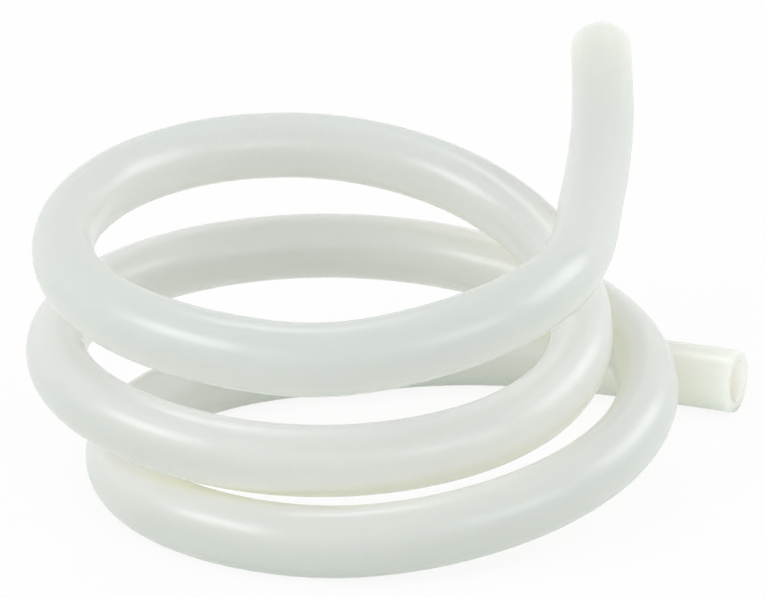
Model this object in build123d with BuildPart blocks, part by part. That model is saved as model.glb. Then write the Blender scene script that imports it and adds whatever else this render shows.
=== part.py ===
"""A length of soft silicone tubing, wound by hand into an open coil that lies on its bottom turn.

It is one extruded piece, cut square at both ends: a round tube with a round bore through its whole
length. The bottom turn and the tail lie flat on the table. The other turns climb from it in a loose,
uneven spring, and the free end leaves the top turn, runs back over the coil and rises a little.
"""

import os
from math import cos, pi, radians, sin, tan

from build123d import *

# The tube
OD = 12.0
BORE = 8.0

# The coil: how far the middle of the tube stands from the coil's upright axis, on average
COIL_RADIUS = 50.0
POINTS_PER_QUARTER = 4

# Where the coil's axis stands, from the middle of the space that the whole tube takes up
AXIS_X = -10.6
AXIS_Y = -13.7

# Each quarter of a turn, from the top turn down: at the front, left, back, right, front and so on.
# OUTWARD is how much further out than COIL_RADIUS the tube is there.
# LIFT is how far it is above the bottom turn, in tube diameters.
OUTWARD = [4.0, -1.0, 8.0, -5.5, -11.0, 1.0, 9.5, 7.0, -3.0, -9.5, -9.5]
LIFT = [3.0, 3.25, 3.2, 1.45, 1.0, 1.45, 1.45, 0.75, 0.0, 0.0, 0.0]

# The free end's points, from its cut to the coil: steps from the coil's first point, at the front.
FREE_END = [
    (53.0, 140.5, 13.0),
    (52.5, 117.0, 8.0),
    (50.5, 93.0, 5.0),
    (48.0, 69.0, 4.0),
    (45.5, 45.0, 4.5),
    (39.5, 22.5, 5.0),
    (23.0, 6.0, 3.0),
]

# The tail's points, from the coil to its cut: steps from the coil's last point, at the back.
TAIL = [
    (25.0, 4.7, 0.0),
    (53.0, -2.8, 0.0),
    (76.0, -13.8, 0.0),
]

# An arc takes up this share of the shorter of the two runs that it joins
ARC_SHARE = 0.45


def between(values, place):
    """The value at a place between whole quarters, on a smooth curve through all of them."""
    here = min(int(place), len(values) - 2)
    t = place - here
    start, end = values[here], values[here + 1]
    before = values[here - 1] if here > 0 else 2 * start - end
    after = values[here + 2] if here + 2 < len(values) else 2 * end - start
    slope = end - before
    bend = 2 * before - 5 * start + 4 * end - after
    twist = 3 * start - before - 3 * end + after
    return start + t * (slope + t * (bend + t * twist)) / 2


def coil_point(place):
    """A corner of the coil's path: corners stand a little outside the round line that they shape."""
    angle = -pi / 2 * (1 + place)
    reach = (COIL_RADIUS + between(OUTWARD, place)) / cos(pi / (4 * POINTS_PER_QUARTER))
    height = OD * (0.5 + max(between(LIFT, place), 0))
    return Vector(AXIS_X + reach * cos(angle), AXIS_Y + reach * sin(angle), height)


corners = (len(LIFT) - 1) * POINTS_PER_QUARTER
coil = [coil_point(corner / POINTS_PER_QUARTER) for corner in range(corners + 1)]
free_end = [coil[0] + Vector(*step) for step in FREE_END]
tail = [coil[-1] + Vector(*step) for step in TAIL]
route = free_end + coil + tail

# Each corner's arc is as large as its two runs allow
runs = [end - start for start, end in zip(route, route[1:])]
radii = []
for run, next_run in zip(runs, runs[1:]):
    half_turn = radians(run.get_angle(next_run)) / 2
    radii.append(ARC_SHARE * min(run.length, next_run.length) / tan(half_turn))

with BuildPart() as tubing:
    with BuildLine() as middle:
        FilletPolyline(*route, radius=radii)
    path = middle.wire()
    with BuildSketch(Plane(origin=path @ 0, z_dir=path % 0)):
        Circle(OD / 2)
        Circle(BORE / 2, mode=Mode.SUBTRACT)
    sweep(path=path)

tubing.part.label = "tubing"
os.makedirs("parts", exist_ok=True)
export_step(tubing.part, "parts/tubing.step")

section = pi * (OD**2 - BORE**2) / 4
print("arc radii, mm:", [round(radius, 1) for radius in radii])
print("length, mm:", round(path.length, 1))
print("volume over section times length:", round(tubing.part.volume / (section * path.length), 5))
print("first cut end and direction:", path @ 0, path % 0)
print("last cut end and direction:", path @ 1, path % 1)
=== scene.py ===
# %% [markdown]
# # A coil of silicone tubing
#
# The object is one metre or so of soft laboratory tube, wound by hand into a loose coil. It is
# taken as 12 mm outside and 8 mm inside, a common size; neither is known for certain. Nothing is
# on it: no fitting, no print, no tie. So the whole lesson is about one shape and one material, and
# both have to be right: a tube that bends as a soft tube does, and milky silicone that light goes
# into and comes out of.
#
# The CAD model already holds the tube's place and size. Here it is made again as a smooth surface,
# and the CAD solid is hidden behind it.

# %% Load the frame
from math import pi, radians

import bpy
import numpy as np
from mathutils import Matrix, Vector


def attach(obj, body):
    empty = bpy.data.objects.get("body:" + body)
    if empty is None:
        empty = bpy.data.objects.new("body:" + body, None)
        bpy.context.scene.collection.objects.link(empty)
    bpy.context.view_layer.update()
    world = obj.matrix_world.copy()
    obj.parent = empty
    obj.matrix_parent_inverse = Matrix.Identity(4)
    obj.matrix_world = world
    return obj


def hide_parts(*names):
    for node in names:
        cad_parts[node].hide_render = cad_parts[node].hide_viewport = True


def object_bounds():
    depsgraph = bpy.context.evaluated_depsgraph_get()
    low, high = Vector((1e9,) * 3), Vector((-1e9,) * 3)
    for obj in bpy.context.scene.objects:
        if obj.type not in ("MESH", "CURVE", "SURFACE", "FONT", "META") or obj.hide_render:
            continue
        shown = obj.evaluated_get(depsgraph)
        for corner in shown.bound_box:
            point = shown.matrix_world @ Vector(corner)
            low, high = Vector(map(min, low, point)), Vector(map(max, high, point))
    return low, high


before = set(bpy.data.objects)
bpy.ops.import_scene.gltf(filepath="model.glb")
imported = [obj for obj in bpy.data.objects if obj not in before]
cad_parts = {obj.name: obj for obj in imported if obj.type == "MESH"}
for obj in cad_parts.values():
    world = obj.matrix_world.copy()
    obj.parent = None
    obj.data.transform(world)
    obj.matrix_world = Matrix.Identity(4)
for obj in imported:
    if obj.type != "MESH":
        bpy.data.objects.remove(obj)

cad_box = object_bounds()
low, high = (np.array(corner) for corner in cad_box)
print("CAD box, mm:", np.round((high - low) * 1000, 1))

# %% [markdown]
# ## The camera
#
# A long lens from 0.72 m away, looking 20 degrees down. A coil seen from close by would have a
# front turn much fatter than the back one. From this distance the front looks some 15 % larger,
# which is what makes small things look as they do in a catalogue.
#
# Its aim and lens were fitted together with the route. The distance was chosen, and views from
# 17 to 24 degrees fitted about as well, so 20 is a choice too. The depths follow from both.
#
# The camera is a matrix of three moves, read from right to left: a small roll about its own line
# of sight, a tilt up from looking straight down, and a step to its place.

# %% Camera
LOOKED_AT = Vector((-0.0020, -0.0137, 0.0340))
CAMERA_DISTANCE = 0.72
CAMERA_ELEVATION = radians(20)
CAMERA_ROLL = radians(-1)
LENS_MM = 186.5
SENSOR_WIDTH_MM = 36
NEAREST_SEEN = 0.01

camera = bpy.data.objects.new("camera", bpy.data.cameras.new("camera"))
camera.data.sensor_width = SENSOR_WIDTH_MM
camera.data.lens = LENS_MM
camera.data.clip_start = NEAREST_SEEN
bpy.context.scene.collection.objects.link(camera)
bpy.context.scene.camera = camera

tilt = Matrix.Rotation(pi / 2 - CAMERA_ELEVATION, 4, "X")
roll = Matrix.Rotation(CAMERA_ROLL, 4, "Z")
backwards = (tilt @ Vector((0, 0, 1, 0))).to_3d()
camera.matrix_world = Matrix.Translation(LOOKED_AT + backwards * CAMERA_DISTANCE) @ tilt @ roll
print("camera stands at, mm:", [round(x * 1000) for x in camera.location])

# %% [markdown]
# ## The route of the tube
#
# A coil that was wound by hand isn't a helix. Each turn has its own width and its own slope, and
# the bottom one lies flat because the table stops it. The route says so with two short lists:
# how far out and how high the tube is at each quarter of a turn. A smooth curve through those
# values gives the points in between, four to the quarter, all in one array.
#
# The free end and the tail aren't coiled, so each has its own list of points, as steps from the
# coil's first and last points.
#
# None of these numbers was chosen by hand. A solver fitted the route to the tube's outline, and its results
# were rounded, to 0.5 mm or to a twentieth of a diameter. Six of the free end's points and the second value
# of OUTWARD were then moved, by 1 mm or less.

# %% Route
TUBE_DIAMETER = 0.012
BORE_DIAMETER = 0.008
COIL_RADIUS = 0.050
COIL_AXIS = (-0.0106, -0.0137)
POINTS_PER_QUARTER = 4

# At the front, left, back, right, front and so on, from the top turn down. OUTWARD is in metres
# beyond COIL_RADIUS, and LIFT is in tube diameters above the bottom turn.
OUTWARD = [0.004, -0.0014, 0.008, -0.0055, -0.011, 0.001, 0.0095, 0.007, -0.003, -0.0095, -0.0095]
LIFT = [3.0, 3.25, 3.2, 1.45, 1.0, 1.45, 1.45, 0.75, 0.0, 0.0, 0.0]

FREE_END = [
    (0.0532, 0.1405, 0.0136),
    (0.0525, 0.1170, 0.0083),
    (0.0501, 0.0930, 0.0050),
    (0.0471, 0.0690, 0.0040),
    (0.0445, 0.0450, 0.0045),
    (0.0388, 0.0225, 0.0050),
    (0.0230, 0.0060, 0.0030),
]
TAIL = [
    (0.0250, 0.0047, 0.0),
    (0.0530, -0.0028, 0.0),
    (0.0760, -0.0138, 0.0),
]


def between(values, place):
    """The values at places between whole quarters: on each quarter, the cubic that meets the value
    at both ends and is there as steep as the line between that value's two neighbours."""
    here = np.minimum(place.astype(int), len(values) - 2)
    ends = [2 * values[0] - values[1], *values, 2 * values[-1] - values[-2]]
    before, start, end, after = (np.array(ends)[here + step] for step in range(4))
    t = place - here
    slope = end - before
    bend = 2 * before - 5 * start + 4 * end - after
    twist = 3 * start - before - 3 * end + after
    return start + t * (slope + t * (bend + t * twist)) / 2


place = np.arange((len(LIFT) - 1) * POINTS_PER_QUARTER + 1) / POINTS_PER_QUARTER
angle = -pi / 2 * (1 + place)
reach = (COIL_RADIUS + between(OUTWARD, place)) / np.cos(pi / (4 * POINTS_PER_QUARTER))
height = TUBE_DIAMETER * (0.5 + np.maximum(between(LIFT, place), 0))
coil = np.stack([COIL_AXIS[0] + reach * np.cos(angle), COIL_AXIS[1] + reach * np.sin(angle), height], 1)
route = np.concatenate([coil[0] + np.array(FREE_END), coil, coil[-1] + np.array(TAIL)])
print(len(route), "points on the route")

# %% [markdown]
# ## One smooth line
#
# The points are the control points of a NURBS spline, which pulls towards them and rounds every
# corner, as the tube's own stiffness does. An order of 3 keeps it close to the points. The line is
# read back from the spline and spaced evenly, because the surface needs rows of equal length.

# %% Middle line
POINTS_PER_SPAN = 32
SPLINE_ORDER = 3
ROW_SPACING = 0.0015


def spline_line(points):
    """The points along a smooth open spline, read from a curve object that has no thickness."""
    curve = bpy.data.curves.new("middle line", "CURVE")
    curve.dimensions = "3D"
    curve.resolution_u = POINTS_PER_SPAN
    spline = curve.splines.new("NURBS")
    spline.points.add(len(points) - 1)
    spline.points.foreach_set("co", np.c_[points, np.ones(len(points))].ravel())
    spline.order_u = SPLINE_ORDER
    spline.use_endpoint_u = True
    holder = bpy.data.objects.new("middle line", curve)
    mesh = bpy.data.meshes.new_from_object(holder)
    line = np.empty(len(mesh.vertices) * 3)
    mesh.vertices.foreach_get("co", line)
    bpy.data.meshes.remove(mesh)
    bpy.data.objects.remove(holder)
    bpy.data.curves.remove(curve)
    return line.reshape(-1, 3)


def evenly(line, spacing):
    """The line again with its points at equal steps, and how far along it each one is: the distance
    along is the running sum of the lengths between neighbours."""
    along = np.r_[0, np.cumsum(np.linalg.norm(np.diff(line, axis=0), axis=1))]
    steps = np.linspace(0, along[-1], round(along[-1] / spacing) + 1)
    return np.stack([np.interp(steps, along, column) for column in line.T], 1), steps


middle, along = evenly(spline_line(route), ROW_SPACING)
tube_length = along[-1]
print("length of the tube, mm:", round(tube_length * 1000, 1))

# %% [markdown]
# ## A bent tube isn't round
#
# A soft tube that is bent flattens towards the inside of the bend: it gets a little narrower
# across the coil and as much taller. Near its cut ends, where it runs straight, it is round. So
# each row of the surface is an ellipse, and a smooth ramp fades the squash out at both ends. The
# amount, 6.5 %, is an estimate and not a calculation from the tube's stiffness.
#
# The surface is one closed grid. Its rows go along the outside from the free end to the tail,
# over the cut there, back along the bore, and over the other cut. Because the grid closes on
# itself both ways, the mesh has no seam, no pole and no open edge.

# %% Tube surface
SQUASH = 0.065
STRAIGHT_END = 0.05
FADE = 0.09
SIDES = 60
EDGE_ROUNDING = 0.0002
EDGE_ROWS = 4


def unit(vectors):
    """The same directions with a length of 1: each vector over its own length."""
    return vectors / np.linalg.norm(vectors, axis=-1, keepdims=True)


def fade(values, start, length):
    """0 before start, 1 after start + length, and between them three times the square of the share
    of the way less twice its cube."""
    t = np.clip((values - start) / length, 0, 1)
    return t * t * (3 - 2 * t)


def tube_rows(length):
    """Rows once round the tube's wall, as two columns: distance along the tube, and distance from
    the middle line. The four edges at the cuts are quarter circles."""
    outer, inner = TUBE_DIAMETER / 2, BORE_DIAMETER / 2
    quarter = np.linspace(0, pi / 2, EDGE_ROWS)
    inset = EDGE_ROUNDING * (1 - np.sin(quarter))
    drop = EDGE_ROUNDING * (1 - np.cos(quarter))
    skin = along[(along > 2 * EDGE_ROUNDING) & (along < length - 2 * EDGE_ROUNDING)]
    tail_outer = np.c_[length - inset, outer - drop]
    tail_inner = np.c_[length - inset, inner + drop][::-1]
    free_inner = np.c_[inset, inner + drop]
    free_outer = np.c_[inset, outer - drop][::-1]
    outside = np.c_[skin, np.full(len(skin), outer)]
    bore = np.c_[skin[::-1], np.full(len(skin), inner)]
    return np.concatenate([outside, tail_outer, tail_inner, bore, free_inner, free_outer])


rows = tube_rows(tube_length)
tangent = unit(np.gradient(middle, axis=0))
at_row = [np.interp(rows[:, 0], along, column) for column in (*middle.T, *tangent.T)]
centre, forward = np.stack(at_row[:3], 1), unit(np.stack(at_row[3:], 1))
across = unit(np.cross(forward, (0, 0, 1)))
upward = np.cross(across, forward)

squash = SQUASH * fade(rows[:, 0], STRAIGHT_END, FADE) * fade(tube_length - rows[:, 0], STRAIGHT_END, FADE)
growth = squash * TUBE_DIAMETER / 2
centre = centre + growth[:, None] * (0, 0, 1)

turn = np.arange(SIDES) * 2 * pi / SIDES
side_step = (rows[:, 1] - growth)[:, None] * np.cos(turn)
up_step = (rows[:, 1] + growth)[:, None] * np.sin(turn)
surface = centre[:, None] + side_step[..., None] * across[:, None] + up_step[..., None] * upward[:, None]
print("rows and sides:", surface.shape[:2], " lowest point, mm:", round(surface[..., 2].min() * 1000, 3))

# %% [markdown]
# The same grid laid out straight is kept on the mesh as an attribute. A pattern that reads it
# follows the tube round every bend, with no seam, because it is three-dimensional: it says where
# each point was when the tube came out of the extruder.

# %% Mesh
def closed_grid(name, points):
    """A mesh whose rows and columns both join up end to end. Each face goes from a point to the same
    side of the next row, to the next side of that row, and back to its own row, so that it points
    outwards."""
    count_rows, count_sides = points.shape[:2]
    index = np.arange(count_rows * count_sides).reshape(count_rows, count_sides)
    next_row, next_side = np.roll(index, -1, 0), np.roll(index, -1, 1)
    faces = np.stack([index, next_row, np.roll(next_row, -1, 1), next_side], -1).reshape(-1, 4)
    mesh = bpy.data.meshes.new(name)
    mesh.from_pydata(points.reshape(-1, 3), [], faces)
    mesh.shade_smooth()
    piece = bpy.data.objects.new(name, mesh)
    bpy.context.scene.collection.objects.link(piece)
    return piece


tube = closed_grid("silicone_tube", surface)
straight = np.stack([
    rows[:, 1:] * np.cos(turn),
    rows[:, 1:] * np.sin(turn),
    np.repeat(rows[:, :1], SIDES, 1),
], -1)
laid_straight = tube.data.attributes.new("laid_straight", "FLOAT_VECTOR", "POINT")
laid_straight.data.foreach_set("vector", straight.ravel())
print("faces:", len(tube.data.polygons))

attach(tube, "root")
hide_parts("tubing")

# %% [markdown]
# ## Milky silicone
#
# Silicone rubber without pigment isn't clear: a fine silica filler scatters the light inside it.
# Light goes in, wanders a few millimetres and comes out elsewhere, so the tube has soft, pale
# shading with hardly any core shadow. Subsurface scattering does exactly that.
#
# Its open skin looks a cool green-grey, which is its own colour. Where turns crowd together the colour is
# painted lighter and creamier. This is painted light: it stands in for light that passes through the rubber
# and bounces between the turns, and it lifts the shade there. An ambient occlusion node says how enclosed a
# place is, and a colour ramp turns that into the painted tint.
# This is a stand-in, set by trial: it isn't worked out from how far light travels in the rubber.
#
# The skin copies the steel die that the tube was drawn through: smooth but not polished, with
# faint lines along it. The specular level is higher than the refractive index gives. That too is
# set by trial, so that highlights show on so pale a surface, and isn't a property of silicone.

# %% Material
# The occlusion that drives the painted light looks this far for another stretch of tube. Its colours go from
# enclosed to open. The enclosed ones are painted light, lighter and creamier to lift the shade between
# turns, and the open one is the silicone's own colour.
COIL_WIDTH = 0.1
TINTS_WITH_PAINTED_GLOW = {0.25: "#FFFEEC", 0.56: "#FAFFF6", 1.0: "#D6DFD6"}


def linear(hex_colour):
    """An sRGB hex colour as linear red, green, blue and alpha: a channel at or below 0.04045 is
    divided by 12.92, and any other has 0.055 added, is divided by 1.055 and raised to 2.4."""
    srgb = np.array([int(hex_colour[i : i + 2], 16) / 255 for i in (1, 3, 5)])
    rgb = np.where(srgb <= 0.04045, srgb / 12.92, ((srgb + 0.055) / 1.055) ** 2.4)
    return (*rgb, 1.0)


def node(tree, kind, inputs=None, **settings):
    """Adds a node, gives it its settings, then sets or links its inputs by name or number."""
    made = tree.nodes.new(kind)
    for key, value in settings.items():
        setattr(made, key, value)
    for key, value in (inputs or {}).items():
        if isinstance(value, bpy.types.NodeSocket):
            tree.links.new(value, made.inputs[key])
        else:
            made.inputs[key].default_value = value
    return made


def new_material(name):
    """An empty material and its node tree."""
    material = bpy.data.materials.new(name)
    material.use_nodes = True
    material.node_tree.nodes.clear()
    return material, material.node_tree


def silicone():
    """Extruded silicone rubber, without pigment: scattering inside, with a satin skin. Its base colour holds
    painted light: it is lighter and creamier where other turns enclose the tube.
    """
    material, tree = new_material("extruded_silicone")
    place_on_tube = node(tree, "ShaderNodeAttribute", attribute_name="laid_straight").outputs["Vector"]
    drawn_out = node(tree, "ShaderNodeMapping", {"Vector": place_on_tube, "Scale": (1, 1, 0.02)})
    die_lines = node(tree, "ShaderNodeTexNoise", {
        "Vector": drawn_out.outputs[0], "Scale": 1200, "Detail": 3, "Roughness": 0.5,
    })
    # Painted light: where other turns enclose the tube, the ramp paints its base colour lighter and
    # creamier. This stands in for light that passes through and between the turns.
    openness_for_painted_glow = node(tree, "ShaderNodeAmbientOcclusion", {"Distance": COIL_WIDTH}, samples=8, only_local=True)
    tint = node(tree, "ShaderNodeValToRGB", {0: openness_for_painted_glow.outputs["AO"]})
    tint.color_ramp.elements.new(0.5)
    for stop, (position, colour) in zip(tint.color_ramp.elements, TINTS_WITH_PAINTED_GLOW.items()):
        stop.position = position
        stop.color = linear(colour)
    bump = node(tree, "ShaderNodeBump", {
        "Height": die_lines.outputs[0], "Strength": 0.15, "Distance": 0.00002,
    })
    shader = node(tree, "ShaderNodeBsdfPrincipled", {
        "Base Color": tint.outputs[0],
        "Roughness": 0.27,
        "IOR": 1.46,
        "Specular IOR Level": 0.85,
        "Subsurface Weight": 1.0,
        "Subsurface Radius": (1.0, 1.0, 1.0),
        "Subsurface Scale": 0.008,
        "Normal": bump.outputs[0],
    })
    node(tree, "ShaderNodeOutputMaterial", {"Surface": shader.outputs[0]})
    return material


tube.data.materials.append(silicone())
print("tint from enclosed to open:", list(TINTS_WITH_PAINTED_GLOW.values()))

# %% [markdown]
# ## The table
#
# White paper, as wide as the eye can follow. Paper under this light would look a pale grey, so
# what the camera and reflections see of it is mostly a plain white glow. The rest is real paper,
# and it keeps the coil's shadow. Light that the paper sends to the tube comes from real paper too.

# %% Floor
PAPER_WHITE = "#F4F4F2"
GLOW_SHARE = 0.88
FLOOR_HALF = 3.0


def looking_ray(tree):
    """1 for a ray from the camera, from a reflection or through the silicone, and 0 for the rays
    that gather light for a surface: the largest of the three."""
    path = node(tree, "ShaderNodeLightPath")
    straight_on = path.outputs["Is Camera Ray"]
    mirrored, through = path.outputs["Is Glossy Ray"], path.outputs["Is Transmission Ray"]
    either = node(tree, "ShaderNodeMath", {0: mirrored, 1: through}, operation="MAXIMUM")
    any_of_them = node(tree, "ShaderNodeMath", {0: straight_on, 1: either.outputs[0]}, operation="MAXIMUM")
    return any_of_them.outputs[0]


def floor_material():
    """Matt white paper. The camera sees it nearer to pure white than it is, still with a shadow."""
    material, tree = new_material("white_paper")
    paper = node(tree, "ShaderNodeBsdfDiffuse", {"Color": linear(PAPER_WHITE)})
    glow = node(tree, "ShaderNodeEmission", {"Color": (1, 1, 1, 1), "Strength": 1.0})
    seen = node(tree, "ShaderNodeMath", {0: looking_ray(tree), 1: GLOW_SHARE}, operation="MULTIPLY")
    mixed = node(tree, "ShaderNodeMixShader", {0: seen.outputs[0], 1: paper.outputs[0], 2: glow.outputs[0]})
    node(tree, "ShaderNodeOutputMaterial", {"Surface": mixed.outputs[0]})
    return material


floor_mesh = bpy.data.meshes.new("floor")
floor_corners = FLOOR_HALF * np.array([(-1, -1, 0), (1, -1, 0), (1, 1, 0), (-1, 1, 0)])
floor_mesh.from_pydata(floor_corners, [], [(0, 1, 2, 3)])
floor = bpy.data.objects.new("floor", floor_mesh)
floor.data.materials.append(floor_material())
bpy.context.scene.collection.objects.link(floor)
print("floor, m across:", 2 * FLOOR_HALF)

# %% [markdown]
# ## The light
#
# A white room, as in a light tent, and five soft boxes. Four stand about where the highlights on
# the tube point back to: to the left in front, to the right in front, on the right and a little
# behind, and overhead. The fifth is a wide dim panel behind the camera, which lifts the shade
# between the turns. Their strengths started from a least-squares fit and were changed by trial.
#
# Much of the light inside the coil gets there by bouncing from turn to turn, off a surface that
# keeps most of it. So later bounces still count, and with the usual number the gaps look darker.

# %% Lights
FILL_STRENGTH = 0.78
BOUNCES = 12


def soft_box(name, azimuth, elevation, distance, size, radiance):
    """A flat light that faces the coil. Azimuth 0 is the camera's side, and 90 the right. Its
    radiance is how bright its face looks. The energy is radiance times pi times area, so a larger
    box gives more light and looks no brighter."""
    turn_to = Matrix.Rotation(radians(azimuth), 4, "Z") @ Matrix.Rotation(radians(90 - elevation), 4, "X")
    light = bpy.data.objects.new(name, bpy.data.lights.new(name, "AREA"))
    light.data.shape = "RECTANGLE"
    light.data.size, light.data.size_y = size
    light.data.energy = radiance * pi * size[0] * size[1]
    light.matrix_world = Matrix.Translation(LOOKED_AT) @ turn_to @ Matrix.Translation((0, 0, distance))
    bpy.context.scene.collection.objects.link(light)


soft_box("left_front", -62, 26, 0.9, (0.60, 0.28), 3.6)
soft_box("right_front", 47, 15, 0.9, (0.60, 0.26), 1.7)
soft_box("right_side", 107, 20, 0.9, (0.70, 0.36), 2.0)
soft_box("overhead", 206, 68, 1.0, (0.3, 0.3), 2.5)
soft_box("front_panel", 0, 16, 1.3, (1.6, 0.8), 0.3)

world = bpy.data.worlds.new("white room")
bpy.context.scene.world = world
world.use_nodes = True
world.node_tree.nodes.clear()
room = world.node_tree
look = node(room, "ShaderNodeBackground", {"Color": (1, 1, 1, 1), "Strength": 1.0})
fill = node(room, "ShaderNodeBackground", {"Color": (1, 1, 1, 1), "Strength": FILL_STRENGTH})
both = node(room, "ShaderNodeMixShader", {0: looking_ray(room), 1: fill.outputs[0], 2: look.outputs[0]})
node(room, "ShaderNodeOutputWorld", {"Surface": both.outputs[0]})

bpy.context.scene.view_settings.view_transform = "Standard"
bpy.context.scene.cycles.diffuse_bounces = BOUNCES
print("room's strength:", FILL_STRENGTH, " bounces:", BOUNCES)
